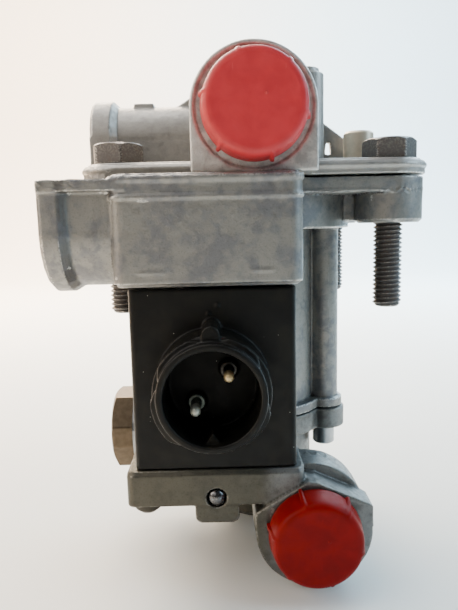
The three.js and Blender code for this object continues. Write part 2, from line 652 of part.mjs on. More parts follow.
// ---------------------------------------------------------------- fasteners and small pieces
function hexBolt(centre, turn) {
  const seat = COVER.top + GAP;
  const head = hexRod("Z", centre, HEX_HEAD.flats, turn, seat, seat + HEX_HEAD.height + 1);
  const crown = turned("Z", centre, [
    [seat - 1, HEX_HEAD.flats * 0.6],
    [seat + HEX_HEAD.height - 0.9, HEX_HEAD.flats * 0.6],
    [seat + HEX_HEAD.height, HEX_HEAD.flats * 0.47],
  ], 36);
  const shank = turned("Z", centre, [
    [BOLT_TIP, BOLT_RADIUS - 1],
    [BOLT_TIP + 1, BOLT_RADIUS],
    [seat + 1, BOLT_RADIUS],
  ]);
  return join(head.intersect(crown), shank);
}

function bodyScrew(centre) {
  return join(
    rod("Z", centre, SCREW.headRadius, SCREW.headEnd, SCREW.seat - GAP, 24),
    rod("Z", centre, SCREW.shank, SCREW.headEnd + 1, SCREW.top, 16),
  );
}

function shelfScrew() {
  const centre = [SHELF_SCREW.x, SHELF_SCREW.y];
  return join(
    rod("Z", centre, SHELF_SCREW.headRadius, SHELF_SCREW.headEnd, SHELF.bottom - GAP, 24),
    rod("Z", centre, SHELF_SCREW.shank, SHELF_SCREW.headEnd + 1, SHELF_SCREW.top, 16),
  );
}

function hexPlug() {
  const centre = [SIDE_PLUG.y, SIDE_PLUG.z];
  const inner = SIDE_PLUG.face - 1.8;
  const head = hexRod("X", centre, SIDE_PLUG.flats, Math.PI / 6, SIDE_PLUG.headEnd - 1, inner);
  const crown = turned("X", centre, [
    [SIDE_PLUG.headEnd, SIDE_PLUG.flats * 0.47],
    [SIDE_PLUG.headEnd + 1.6, SIDE_PLUG.flats * 0.6],
    [inner + 1, SIDE_PLUG.flats * 0.6],
  ], 32);
  return join(head.intersect(crown), rod("X", centre, SIDE_PLUG.thread, inner - 1, SIDE_PLUG.face + 13, 32));
}

function coverGasket() {
  return ring("Z", AXIS, 27, 24.8, BODY.top + GASKET_GAP, COVER.bottom - GASKET_GAP, 32);
}

function plugWasher() {
  const { y, z, thread, face } = SIDE_PLUG;
  return ring("X", [y, z], 12.4, thread + 2 * GAP, face - 1.5, face - GAP, 32);
}

function dowel() {
  const centre = [DOWEL.x, DOWEL.y];
  return join(
    rod("Z", centre, DOWEL.spigot, COVER.bottom + GAP, COVER.top + 1, 20),
    turned("Z", centre, [
      [COVER.top + GAP, DOWEL.radius],
      [DOWEL.top - 0.6, DOWEL.radius],
      [DOWEL.top, DOWEL.radius - 0.6],
    ]),
  );
}

function ball() {
  const geometry = new THREE.SphereGeometry(BALL.radius, 14, 8);
  geometry.translate(BALL.x, BALL.y, BALL.z);
  return solid(geometry);
}

// A moulded port cap: a flanged cup with six small nubs round its rim.
function portCap(x, z, face, radius, bore) {
  const back = face - GAP;
  const front = face - 7.6;
  const shell = cut(
    join(
      turned("Y", [x, z], [[front, radius - 1.4], [front + 0.7, radius - 0.7], [back, radius]], 32),
      rod("Y", [x, z], bore - GAP, back - 1, face + 9, 32),
    ),
    rod("Y", [x, z], bore - 2, front + 2, face + 10, 32),
  );
  const nubs = [0, 1, 2, 3, 4, 5].map((i) => {
    const angle = THREE.MathUtils.degToRad(-12 + 60 * i);
    const nub = new THREE.BoxGeometry(1.6, 1.6, 2);
    nub.translate(radius - 0.3, 0, 0);
    nub.rotateZ(angle);
    nub.translate(x, z, -(back - 1));
    return solid(turnTo("Y", nub));
  });
  return join(shell, ...nubs);
}

// ---------------------------------------------------------------- assembly
piece("upper_housing", upperHousing(), CAST);
piece("middle_housing", middleHousing(), CAST);
piece("lower_housing", lowerHousing(), CAST_DARK);
piece("cover_gasket", coverGasket(), RUBBER);
piece("joint_oring", oRing(AXIS, 15, 1.4, PARTING.lower - 0.7), RUBBER);

piece("relay_piston", relayPiston(), STEEL);
piece("piston_oring", oRing(AXIS, 22.8, 2, (PISTON_GROOVE.bottom + PISTON_GROOVE.top) / 2, 32), RUBBER);
piece("inlet_valve", inletValve(), BRASS);
piece("valve_seal", ring("Z", AXIS, VALVE.face, VALVE.hollow + 0.4, VALVE.top - 1.2, VALVE.top), RUBBER);
piece("valve_spring", spring(AXIS, VALVE_SPRING), STEEL);
piece("valve_guide", valveGuide(), BRASS);
piece("guide_oring", oRing(AXIS, 11.8, 1.6, (GUIDE_GROOVE.bottom + GUIDE_GROOVE.top) / 2), RUBBER);
piece("snap_ring", snapRing(), STEEL);

piece("solenoid_block", solenoidBlock(), BLACK_PLASTIC);
piece("pin_left", contactPin(-1), BRASS);
piece("pin_right", contactPin(1), BRASS);
piece("coil_bobbin", coilBobbin(), PALE_PLASTIC);
piece("coil_winding", coilWinding(), COPPER);
piece("pole_core", poleCore(), STEEL);
piece("armature_tube", armatureTube(), STEEL);
piece("armature", armature(), STEEL);
piece("armature_seal", armatureSeal(), RUBBER);
piece("armature_spring", spring(COIL, ARMATURE_SPRING), STEEL);
piece("solenoid_oring", oRing(COIL, 7.2, 1.4, BLOCK.top - 0.4, 32), RUBBER);

piece("bolt_left", hexBolt(BOLT_CENTRES[0], BOLT_TURNS.left), BLACK_STEEL);
piece("bolt_right", hexBolt(BOLT_CENTRES[1], BOLT_TURNS.right), BLACK_STEEL);
piece("bolt_rear", hexBolt(BOLT_CENTRES[2], BOLT_TURNS.rear), BLACK_STEEL);
SCREW_CENTRES.forEach((centre, i) => piece("body_screw_" + (i + 1), bodyScrew(centre), STEEL));
piece("shelf_screw", shelfScrew(), BLACK_STEEL);
piece("hex_plug", hexPlug(), PLATED);
piece("plug_washer", plugWasher(), STEEL);
piece("locating_dowel", dowel(), PLATED);
piece("sealing_ball", ball(), STEEL);
piece("cap_upper", portCap(TOP_PORT.x, TOP_PORT.z, TOP_PORT.front, 12.7, TOP_PORT.bore), RED_PLASTIC);
piece("cap_lower", portCap(LOW_PORT.x, LOW_PORT.z, LOW_PORT.front, 11.7, LOW_PORT.bore), RED_PLASTIC);

export default valve;
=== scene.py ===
"""The looks of a pneumatic relay valve with its pilot solenoid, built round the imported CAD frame.

Castings and mouldings are copies of their CAD nodes with soft cast edges; turned, threaded and moulded
small parts are built here. Shapes are made in millimetres and scaled to metres when a piece is finished.
"""

import json
import math

import bmesh
import bpy
import numpy as np
from mathutils import Matrix, Vector, noise


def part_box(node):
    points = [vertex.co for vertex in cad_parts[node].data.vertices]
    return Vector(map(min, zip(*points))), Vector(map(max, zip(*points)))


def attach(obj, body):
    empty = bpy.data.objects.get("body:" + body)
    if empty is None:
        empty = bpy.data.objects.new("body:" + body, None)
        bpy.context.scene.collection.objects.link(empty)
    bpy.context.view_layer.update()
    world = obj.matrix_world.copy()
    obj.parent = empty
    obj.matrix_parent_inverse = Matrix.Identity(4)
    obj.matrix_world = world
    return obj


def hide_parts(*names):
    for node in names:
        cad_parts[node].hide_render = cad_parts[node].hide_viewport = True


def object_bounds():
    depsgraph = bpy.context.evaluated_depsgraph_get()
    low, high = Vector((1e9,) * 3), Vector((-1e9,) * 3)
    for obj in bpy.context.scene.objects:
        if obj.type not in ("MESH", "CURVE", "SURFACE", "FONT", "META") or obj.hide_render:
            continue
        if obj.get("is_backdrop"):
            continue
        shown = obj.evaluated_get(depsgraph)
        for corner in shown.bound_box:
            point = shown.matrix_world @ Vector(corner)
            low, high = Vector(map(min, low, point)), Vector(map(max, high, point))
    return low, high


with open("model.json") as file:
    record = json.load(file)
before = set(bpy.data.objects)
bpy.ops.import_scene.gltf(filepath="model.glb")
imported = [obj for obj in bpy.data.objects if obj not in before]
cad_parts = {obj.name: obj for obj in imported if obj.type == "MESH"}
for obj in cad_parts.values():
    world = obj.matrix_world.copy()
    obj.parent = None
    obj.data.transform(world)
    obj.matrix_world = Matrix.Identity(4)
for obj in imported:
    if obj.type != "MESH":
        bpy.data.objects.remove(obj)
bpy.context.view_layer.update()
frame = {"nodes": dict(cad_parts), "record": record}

MM = 0.001
X, Y, Z = 0, 1, 2


# ---------------------------------------------------------------- sizes, in millimetres
def box_mm(node):
    low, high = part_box(node)
    return np.array(low) / MM, np.array(high) / MM


def centre_mm(node):
    low, high = box_mm(node)
    return (low + high) / 2


MAIN = (2, 18)  # x and y of the chamber's, the barrel's and the bowl's common axis
EARS = ((-37.5, 0), (37.5, 0), (30, 44))  # the three bolts
LOBE_CIRCLE = 20.3  # the lower screws stand on this radius round MAIN
LOBES = [
    (
        MAIN[0] + LOBE_CIRCLE * math.cos(math.radians(angle)),
        MAIN[1] + LOBE_CIRCLE * math.sin(math.radians(angle)),
    )
    for angle in (-14, 106, 226)
]
STUB_PORT = (20, 26.5)  # y and z of its axis
SIDE_PORT = (-13.4, -1.3)  # y and z
TOP_PORT = (-1.1, 27.8)  # x and z
LOWER_PORT = (12.2, -76.7)  # x and z
PLUG_BOSS = (13, -62.2)  # y and z
OPEN_BORE = 7.5  # radius of the two open ports

BOLT_FLATS = 13.0  # hexagon across flats of the three bolts
BOLT_HEAD = 5.3
BOLT_TURNS = {"bolt_left": 0.78, "bolt_right": -0.19, "bolt_rear": 0.3}  # angle of one corner, radians
THREAD_RADIUS = 4.0
THREAD_PITCH = 1.25
THREAD_DEPTH = 0.68
THREAD_TIP = 0.95  # how much smaller the radius is at the tip, where a 45 degree chamfer starts
PLUG_FLATS = 22.0
PLUG_THREAD = 9.0  # radius
SCREW_SEAT = -63.0  # underside of the lower housing's screw lobes
BALL_RADIUS = 2.5
PIN_RADIUS = 1.28
PIN_COLLAR_RADIUS = 2.0
PIN_COLLAR = (3.7, 2.9)  # where a contact pin's collar begins and ends, from the pin's rear end

SHELL_RADIUS = 12.6  # the connector's round shell
SOCKET_LIMIT = 11.2  # everything inside this radius belongs to the socket
BLOCK_FACE = -26.0  # y of the solenoid block's flat front
# Start and end angle, depth, width, and y at both ends from the shell's rim
BAYONET_RIBS = [
    (172, 236, 1.4, 2.2, 2.6, 1.6),
    (100, 160, 1.3, 2.0, 3.4, 1.9),
    (32, 82, 1.3, 2.0, 1.9, 3.4),
    (-66, -8, 1.3, 2.0, 3.2, 1.9),
]

CAP_SKIRT = 7.3  # from a cap's face back to the end of its skirt
CAP_INNER = 9.0
CAP_RIB_HALF = 2.6  # half a rib's width in degrees
CAP_RIB_TURN = -12


# ---------------------------------------------------------------- camera, light and stage
def place_camera():
    """In front of the valve, tilted a little down."""
    focal_pixels, long_side = 560, 610
    pitch, roll, yaw = math.radians(8.2), math.radians(1.3), math.radians(0.5)
    position = Vector((-9.27, -159.36, 0.51)) * MM
    flat = Vector((math.sin(yaw), math.cos(yaw), 0))
    forward = flat * math.cos(pitch) - Vector((0, 0, math.sin(pitch)))
    level = forward.cross(Vector((0, 0, 1))).normalized()
    upward = level.cross(forward)
    right = math.cos(roll) * level - math.sin(roll) * upward
    up = math.sin(roll) * level + math.cos(roll) * upward
    data = bpy.data.cameras.new("camera")
    data.sensor_width = 36
    data.lens = focal_pixels / long_side * data.sensor_width
    data.clip_start = 0.005
    camera = bpy.data.objects.new("camera", data)
    bpy.context.scene.collection.objects.link(camera)
    turn = Matrix((right, up, -forward)).transposed()
    camera.matrix_world = Matrix.Translation(position) @ turn.to_4x4()
    bpy.context.scene.camera = camera


def area_light(name, position, target, size, watts, colour):
    data = bpy.data.lights.new(name, "AREA")
    data.shape = "RECTANGLE"
    data.size, data.size_y = size
    data.energy = watts
    data.color = colour
    light = bpy.data.objects.new(name, data)
    light.location = position
    aim = Vector(target) - Vector(position)
    light.rotation_euler = aim.to_track_quat("-Z", "Y").to_euler()
    bpy.context.scene.collection.objects.link(light)


# Name, position, target and size in metres, power in watts, colour
LIGHTS = [
    ("window_above", (-0.18, 0.08, 0.62), (0, 0, 0), (0.6, 0.45), 3.3, (1.0, 0.98, 0.95)),
    ("window_front", (-0.40, -0.55, 0.52), (0, 0, 0.03), (0.5, 0.35), 1.3, (1.0, 0.96, 0.91)),
    ("warm_left", (-0.50, -0.15, 0.26), (0, 0, 0), (0.3, 0.4), 2.4, (1.0, 0.88, 0.76)),
    ("cool_right", (0.46, -0.10, 0.26), (0, 0, 0), (0.25, 0.4), 2.0, (0.60, 0.82, 1.0)),
    ("backdrop_warm", (-0.55, 0.45, 0.60), (-0.45, 1.25, 0.10), (0.8, 0.4), 36.0, (1.0, 0.84, 0.66)),
    ("backdrop_wash", (0.10, 0.45, 0.75), (0.05, 1.25, 0.30), (0.8, 0.4), 24.0, (1.0, 0.97, 0.93)),
    ("backdrop_cool", (0.60, 0.45, 0.40), (0.50, 1.20, -0.05), (0.5, 0.4), 15.0, (0.55, 0.80, 1.0)),
    ("floor_warm", (-0.35, 0.50, 0.50), (-0.28, 0.32, -0.1), (0.8, 0.4), 17.0, (1.0, 0.84, 0.66)),
    ("floor_cool", (0.35, 0.50, 0.45), (0.25, 0.40, -0.1), (0.6, 0.4), 6.0, (0.62, 0.84, 1.0)),
]


def set_world():
    """A dim grey room, brightest above and behind the valve."""
    world = bpy.data.worlds.new("soft room")
    bpy.context.scene.world = world
    world.use_nodes = True
    nodes, links = world.node_tree.nodes, world.node_tree.links
    background = nodes["Background"]
    place = nodes.new("ShaderNodeTexCoord")
    toward = nodes.new("ShaderNodeVectorMath")
    toward.operation = "DOT_PRODUCT"
    toward.inputs[1].default_value = (-0.15, 0.55, 0.82)
    ramp = nodes.new("ShaderNodeValToRGB")
    ramp.color_ramp.elements[0].position = 0.25
    ramp.color_ramp.elements[0].color = (0.060, 0.057, 0.054, 1)
    ramp.color_ramp.elements[1].position = 0.95
    ramp.color_ramp.elements[1].color = (0.62, 0.64, 0.67, 1)
    lift = nodes.new("ShaderNodeMapRange")
    lift.inputs["From Min"].default_value = -1
    lift.inputs["From Max"].default_value = 1
    links.new(place.outputs["Generated"], toward.inputs[0])
    links.new(toward.outputs["Value"], lift.inputs["Value"])
    links.new(lift.outputs[0], ramp.inputs[0])
    links.new(ramp.outputs[0], background.inputs["Color"])
    background.inputs["Strength"].default_value = 0.3


def build_stage(material):
    """A pale floor that sweeps up behind the valve in one curve."""
    floor_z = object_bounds()[0].z - 0.001
    half_width, near, far, sweep, height = 2.2, -1.5, 1.3, 0.5, 2.0
    steps = 24
    line = [(near, floor_z), (far - sweep, floor_z)]
    for step in range(1, steps + 1):
        angle = math.pi / 2 * step / steps
        line.append((far - sweep + sweep * math.sin(angle), floor_z + sweep * (1 - math.cos(angle))))
    line.append((far, floor_z + height))
    mesh = bpy.data.meshes.new("stage")
    points = [(x, y, z) for y, z in line for x in (-half_width, half_width)]
    faces = [(2 * i, 2 * i + 1, 2 * i + 3, 2 * i + 2) for i in range(len(line) - 1)]
    mesh.from_pydata(points, [], faces)
    mesh.shade_smooth()
    mesh.materials.append(material)
    stage = bpy.data.objects.new("stage", mesh)
    bpy.context.scene.collection.objects.link(stage)
    stage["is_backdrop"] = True


# ---------------------------------------------------------------- materials
class Finish:
    """A Principled material and the nodes behind it; sizes are in metres of the valve's own frame."""

    def __init__(self, name, metallic=0.0, specular=0.5):
        self.material = bpy.data.materials.new(name)
        self.material.use_nodes = True
        self.nodes = self.material.node_tree.nodes
        self.links = self.material.node_tree.links
        self.shader = self.nodes["Principled BSDF"]
        self.shader.inputs["Metallic"].default_value = metallic
        self.shader.inputs["Specular IOR Level"].default_value = specular
        self.place = self.nodes.new("ShaderNodeTexCoord").outputs["Object"]

    def stretched(self, scale):
        mapping = self.nodes.new("ShaderNodeMapping")
        mapping.inputs["Scale"].default_value = scale
        self.links.new(self.place, mapping.inputs["Vector"])
        return mapping.outputs[0]

    def noise(self, size_mm, detail=3.0, distortion=0.0, stretch=None):
        made = self.nodes.new("ShaderNodeTexNoise")
        made.inputs["Scale"].default_value = 1 / (size_mm * MM)
        made.inputs["Detail"].default_value = detail
        made.inputs["Distortion"].default_value = distortion
        self.links.new(self.stretched(stretch) if stretch else self.place, made.inputs["Vector"])
        return made.outputs["Fac"]

    def specks(self, spacing_mm, radius_mm):
        """1 inside small scattered specks and 0 elsewhere."""
        cells = self.nodes.new("ShaderNodeTexVoronoi")
        cells.inputs["Scale"].default_value = 1 / (spacing_mm * MM)
        self.links.new(self.place, cells.inputs["Vector"])
        edge = radius_mm / spacing_mm
        return self.levels(cells.outputs["Distance"], edge, edge * 0.6)

    def levels(self, value, low, high):
        """0 at low and 1 at high, smoothly; low may be the larger."""
        made = self.nodes.new("ShaderNodeMapRange")
        made.interpolation_type = "SMOOTHSTEP"
        made.inputs["From Min"].default_value = low
        made.inputs["From Max"].default_value = high
        self.links.new(value, made.inputs["Value"])
        return made.outputs[0]

    def times(self, a, b):
        made = self.nodes.new("ShaderNodeMath")
        made.operation = "MULTIPLY"
        for socket, value in zip(made.inputs, (a, b)):
            if isinstance(value, (int, float)):
                socket.default_value = value
            else:
                self.links.new(value, socket)
        return made.outputs[0]

    def mix(self, factor, first, second):
        made = self.nodes.new("ShaderNodeMix")
        made.data_type = "RGBA"
        self.links.new(factor, made.inputs["Factor"])
        for socket, value in ((made.inputs["A"], first), (made.inputs["B"], second)):
            if isinstance(value, tuple):
                socket.default_value = (*value, 1)
            else:
                self.links.new(value, socket)
        return made.outputs["Result"]

    def outer_edges(self, low, high):
        """1 on sharp outer edges and 0 on flats and in corners."""
        geometry = self.nodes.new("ShaderNodeNewGeometry")
        return self.levels(geometry.outputs["Pointiness"], low, high)

    def hollows(self, low, high):
        """1 in inner corners, where the castings paint shade."""
        geometry = self.nodes.new("ShaderNodeNewGeometry")
        return self.levels(geometry.outputs["Pointiness"], low, high)

    def position(self, axis):
        split = self.nodes.new("ShaderNodeSeparateXYZ")
        self.links.new(self.place, split.inputs[0])
        return split.outputs[axis]

    def colour(self, value):
        self.links.new(value, self.shader.inputs["Base Color"])

    def roughness(self, value, low, high):
        made = self.nodes.new("ShaderNodeMapRange")
        made.inputs["From Min"].default_value = 0.3
        made.inputs["From Max"].default_value = 0.7
        made.inputs["To Min"].default_value = low
        made.inputs["To Max"].default_value = high
        self.links.new(value, made.inputs["Value"])
        self.links.new(made.outputs[0], self.shader.inputs["Roughness"])

    def bump(self, *layers):
        """Each layer is (height, depth in millimetres)."""
        normal = None
        for value, depth_mm in layers:
            made = self.nodes.new("ShaderNodeBump")
            made.inputs["Distance"].default_value = depth_mm * MM
            self.links.new(value, made.inputs["Height"])
            if normal:
                self.links.new(normal, made.inputs["Normal"])
            normal = made.outputs["Normal"]
        self.links.new(normal, self.shader.inputs["Normal"])


def cast_aluminium(name, pale, stained, dirt_and_shade, bright, stain, region):
    """region(finish) gives a mask and the colour that the casting takes there."""
    finish = Finish(name, metallic=0.75)
    grain = finish.noise(0.45, 4)
    blotches = finish.noise(2.4, 7, 0.3)
    clouds = finish.noise(9.0, 3, 0.2)
    marks = finish.levels(finish.times(blotches, clouds), 0.19, 0.36)
    mask, tint = region(finish)
    base = finish.mix(mask, pale, tint)
    colour = finish.mix(finish.times(marks, stain), base, stained)
    colour = finish.mix(finish.times(finish.levels(grain, 0.50, 0.78), 0.35), colour, dirt_and_shade)
    pores = finish.specks(1.7, 0.08)
    colour = finish.mix(finish.times(pores, 0.6), colour, dirt_and_shade)
    # Painted shade: inner corners darkened towards the dirt colour.
    colour = finish.mix(finish.times(finish.hollows(0.492, 0.455), 0.9), colour, dirt_and_shade)
    # Paler sharp edges in rubbed patches: partly real wear, partly painted highlight where the edges catch
    # light.
    edge_mask = finish.outer_edges(0.512, 0.545)
    rubbed_and_highlit = finish.times(edge_mask, finish.levels(finish.noise(0.7, 4), 0.40, 0.58))
    colour = finish.mix(finish.times(rubbed_and_highlit, 0.85), colour, bright)
    finish.colour(colour)
    finish.roughness(finish.noise(1.2, 5), 0.36, 0.58)
    finish.bump((grain, 0.035), (finish.noise(0.2, 2), 0.012), (blotches, 0.05))
    return finish.material


def machined_front(finish):
    """The bare, paler front face of the upper port boss."""
    starts, full = -20.6, -21.6
    return finish.levels(finish.position("Y"), starts * MM, full * MM), (0.74, 0.71, 0.66)


def painted_step_shade(finish):
    """Painted shade on the step behind the side port's collar."""
    left, left_full, right_full, right = -48.2, -47.0, -46.1, -44.9
    along = finish.position("X")
    start = finish.levels(along, left * MM, left_full * MM)
    end = finish.levels(along, right * MM, right_full * MM)
    return finish.times(finish.times(start, end), 0.75), (0.105, 0.102, 0.100)


def paler_right(finish):
    """The lower casting, paler and cooler right of its darker shelf."""
    starts, full = -2, 5
    return finish.levels(finish.position("X"), starts * MM, full * MM), (0.185, 0.19, 0.188)


def turned_steel(name, colour, shade, low, high, metallic=1.0):
    finish = Finish(name, metallic=metallic)
    cloud = finish.noise(1.8, 4)
    finish.colour(finish.mix(finish.levels(cloud, 0.35, 0.7), colour, shade))
    finish.roughness(finish.noise(0.8, 3), low, high)
    finish.bump((finish.noise(0.25, 3), 0.01))
    return finish.material


def contact_metal(name, tip, root, tip_end_mm):
    """A contact pin, paler at its tip and darker towards its root, from tip_end_mm along Y: the pale tip is
    partly the pin's own metal and partly a painted highlight, and the darker root is painted shade.
    """
    fade = 1.2
    finish = Finish(name, metallic=0.5)
    # Painted highlight at the tip, painted shade towards the root.
    bright = finish.levels(finish.position("Y"), (tip_end_mm + fade) * MM, tip_end_mm * MM)
    cloud = finish.times(finish.noise(0.8, 4), 0.35)
    finish.colour(finish.mix(cloud, finish.mix(bright, root, tip), (0.05, 0.05, 0.045)))
    finish.roughness(finish.noise(0.6, 3), 0.26, 0.42)
    finish.bump((finish.noise(0.25, 3), 0.01))
    return finish.material


def black_oxide(name, shade, rust_shade, bare):
    finish = Finish(name, metallic=0.75)
    rub = finish.levels(finish.noise(0.5, 4), 0.46, 0.62)
    rust = finish.levels(finish.noise(1.4, 5), 0.50, 0.70)
    colour = finish.mix(finish.times(rust, 0.45), shade, rust_shade)
    pale_edges = finish.times(finish.outer_edges(0.52, 0.57), 0.9)
    colour = finish.mix(finish.times(pale_edges, rub), colour, bare)
    finish.colour(colour)
    finish.roughness(finish.noise(0.7, 3), 0.36, 0.58)
    finish.bump((finish.noise(0.3, 4), 0.02))
    return finish.material


def black_plastic(name, specular=0.19):
    finish = Finish(name, specular=specular)
    film = finish.levels(finish.noise(7.0, 5, 0.8), 0.42, 0.72)
    colour = finish.mix(finish.times(film, 0.5), (0.0030, 0.0030, 0.0026), (0.011, 0.0098, 0.0062))
    dust = finish.times(finish.specks(2.6, 0.13), finish.levels(finish.noise(5.0, 2), 0.46, 0.6))
    colour = finish.mix(dust, colour, (0.34, 0.33, 0.28))
    # Paler edges: partly wear, partly painted highlight where the edges catch light.
    pale_edges = finish.times(finish.outer_edges(0.53, 0.62), 0.4)
    colour = finish.mix(pale_edges, colour, (0.055, 0.052, 0.043))
    finish.colour(colour)
    finish.roughness(finish.noise(3.0, 4), 0.34, 0.52)
    finish.bump((finish.noise(0.4, 3), 0.02), (finish.noise(4.0, 3), 0.05))
    return finish.material


def red_plastic(name, first, second, edge, specular):
    finish = Finish(name, specular=specular)
    finish.shader.inputs["Subsurface Weight"].default_value = 0.12
    finish.shader.inputs["Subsurface Radius"].default_value = (0.002, 0.0006, 0.0004)
    cloud = finish.levels(finish.noise(5.0, 4, 0.4), 0.35, 0.7)
    colour = finish.mix(cloud, first, second)
    scuffs = finish.levels(finish.noise(0.7, 5, 0, (1, 1, 0.15)), 0.66, 0.78)
    colour = finish.mix(finish.times(scuffs, 0.25), colour, edge)
    finish.colour(colour)
    finish.roughness(finish.noise(1.5, 3), 0.36, 0.50)
    finish.bump((finish.noise(0.35, 3), 0.012), (finish.noise(3.5, 3), 0.05))
    return finish.material


def rubber(name):
    finish = Finish(name)
    finish.colour(finish.mix(finish.noise(1.0, 3), (0.014, 0.014, 0.015), (0.03, 0.03, 0.032)))
    finish.roughness(finish.noise(0.6, 3), 0.65, 0.85)
    finish.bump((finish.noise(0.2, 3), 0.01))
    return finish.material


def pale_plastic(name):
    finish = Finish(name)
    finish.colour(finish.mix(finish.noise(2.0, 3), (0.62, 0.57, 0.46), (0.52, 0.48, 0.38)))
    finish.roughness(finish.noise(1.0, 3), 0.45, 0.6)
    finish.bump((finish.noise(0.4, 3), 0.01))
    return finish.material


def copper_wire(name):
    finish = Finish(name, metallic=1.0)
    wave = finish.nodes.new("ShaderNodeTexWave")
    wave.bands_direction = "Z"
    wave.inputs["Scale"].default_value = 1 / (0.9 * MM)
    finish.links.new(finish.place, wave.inputs["Vector"])
    finish.colour(finish.mix(wave.outputs["Fac"], (0.30, 0.09, 0.03), (0.72, 0.28, 0.12)))
    finish.roughness(finish.noise(0.8, 3), 0.28, 0.42)
    finish.bump((wave.outputs["Fac"], 0.12))
    return finish.material


def stage_material(name):
    finish = Finish(name)
    # Warm on the left, cool on the right: a painted tint of the warm and cool light falling on the paper.
    left, right = -500, 450
    across = finish.levels(finish.position("X"), left * MM, right * MM)
    paper_and_light_tint = finish.mix(across, (0.93, 0.80, 0.67), (0.64, 0.79, 0.87))
    finish.colour(finish.mix(finish.times(finish.noise(60.0, 3), 0.08), paper_and_light_tint, (0.70, 0.70, 0.70)))
    finish.roughness(finish.noise(50.0, 3), 0.75, 0.9)
    return finish.material


# ---------------------------------------------------------------- mesh helpers, in millimetres
def new_mesh(name, points, faces):
    mesh = bpy.data.meshes.new(name)
    mesh.from_pydata([tuple(p) for p in points], [], faces)
    mesh.validate()
    return mesh


def keep_inside(mesh, node):
    """Moves the few vertices that stand out of their CAD node's box back to its faces."""
    places = np.empty(len(mesh.vertices) * 3)
    mesh.vertices.foreach_get("co", places)
    places = np.clip(places.reshape(-1, 3), *box_mm(node))
    mesh.vertices.foreach_set("co", places.ravel())
    mesh.update()


def show_piece(mesh, name, node, body, material, smooth_angle=40):
    """Scales a finished mesh to metres, shades it and lets it stand for its CAD node."""
    keep_inside(mesh, node)
    mesh.transform(Matrix.Scale(MM, 4))
    mesh.name = name
    mesh.materials.clear()
    mesh.materials.append(material)
    mesh.shade_smooth()
    if smooth_angle:
        mesh.set_sharp_from_angle(angle=math.radians(smooth_angle))
    piece = bpy.data.objects.new(name, mesh)
    bpy.context.scene.collection.objects.link(piece)
    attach(piece, body)
    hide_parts(node)
    return piece


def joined(name, parts):
    """Several meshes as one."""
    sheet = bmesh.new()
    for part in parts:
        sheet.from_mesh(part)
    mesh = bpy.data.meshes.new(name)
    sheet.to_mesh(mesh)
    sheet.free()
    return mesh


def outward(mesh):
    """Turns every face to look out of its body."""
    sheet = bmesh.new()
    sheet.from_mesh(mesh)
    bmesh.ops.recalc_face_normals(sheet, faces=sheet.faces)
    sheet.to_mesh(mesh)
    sheet.free()
    return mesh


AXES = {
    # Where a lathe's own x, y and its axis go
    "X": Matrix(((0, 0, 1), (1, 0, 0), (0, 1, 0))),
    "Y": Matrix(((1, 0, 0), (0, 0, 1), (0, 1, 0))),
    "Z": Matrix(((1, 0, 0), (0, 1, 0), (0, 0, 1))),
}


def eased(profile, radius, steps=4):
    """A profile of [along, radius] points with its corners rounded."""
    made = [profile[0]]
    for before, here, after in zip(profile, profile[1:], profile[2:]):
        before, here, after = (np.array(p, float) for p in (before, here, after))
        reach_in, reach_out = np.linalg.norm(before - here), np.linalg.norm(after - here)
        reach = min(radius, reach_in * 0.45, reach_out * 0.45)
        start = here + (before - here) / reach_in * reach
        end = here + (after - here) / reach_out * reach
        for step in range(steps + 1):
            t = step / steps
            made.append((1 - t) ** 2 * start + 2 * t * (1 - t) * here + t * t * end)
    made.append(profile[-1])
    return [tuple(p) for p in made]


def lathe(name, axis, centre, profile, sides=96, rounding=0.0, shape=None):
    """A turned mesh round an axis through centre; shape(angle, along, radius) may change a radius."""
    line = eased(profile, rounding) if rounding else profile
    points, faces = [], []
    for along, radius in line:
        for side in range(sides):
            angle = 2 * math.pi * side / sides
            reach = shape(angle, along, radius) if shape else radius
            points.append((reach * math.cos(angle), reach * math.sin(angle), along))
    for row in range(len(line) - 1):
        for side in range(sides):
            here, there = row * sides + side, row * sides + (side + 1) % sides
            faces.append((here, there, there + sides, here + sides))
    faces.append(tuple(reversed(range(sides))))
    faces.append(tuple(range(len(points) - sides, len(points))))
    mesh = new_mesh(name, points, faces)
    mesh.transform(AXES[axis].to_4x4())
    if axis == "Y":
        mesh.flip_normals()
    mesh.transform(Matrix.Translation(centre))
    return mesh


def rounded_bar(low, high, radius):
    """A bar between two corners with rounded edges."""
    low, high = Vector(low), Vector(high)
    sheet = bmesh.new()
    bmesh.ops.create_cube(sheet, size=1)
    for vertex in sheet.verts:
        vertex.co = [c * (b - a) for c, a, b in zip(vertex.co, low, high)]
    bmesh.ops.bevel(sheet, geom=sheet.edges[:], offset=radius, segments=3, affect="EDGES", profile=0.5)
    bmesh.ops.translate(sheet, vec=(low + high) / 2, verts=sheet.verts)
    mesh = bpy.data.meshes.new("bar")
    sheet.to_mesh(mesh)
    sheet.free()
    return mesh


def arc_rib(axis_x, axis_z, radius, start, end, depth, width, y_start, y_end):
    """A raised rib that winds round a connector from one angle (degrees) to another."""
    steps = max(8, int(abs(end - start) / 4))
    root = radius - 0.6
    points, faces = [], []
    for step in range(steps + 1):
        t = step / steps
        angle = math.radians(start + (end - start) * t)
        y = y_start + (y_end - y_start) * t
        fade = min(1.0, 5 * t, 5 * (1 - t))
        outer = radius + depth * (0.25 + 0.75 * fade)
        for reach, side in ((root, -1), (outer, -0.7), (outer, 0.7), (root, 1)):
            points.append((
                axis_x + reach * math.cos(angle),
                y + side * width / 2,
                axis_z + reach * math.sin(angle),
            ))
    for step in range(steps):
        for corner in range(4):
            a, b = 4 * step + corner, 4 * step + (corner + 1) % 4
            faces.append((a, b, b + 4, a + 4))
    faces.append((3, 2, 1, 0))
    faces.append(tuple(4 * steps + corner for corner in range(4)))
    return outward(new_mesh("rib", points, faces))


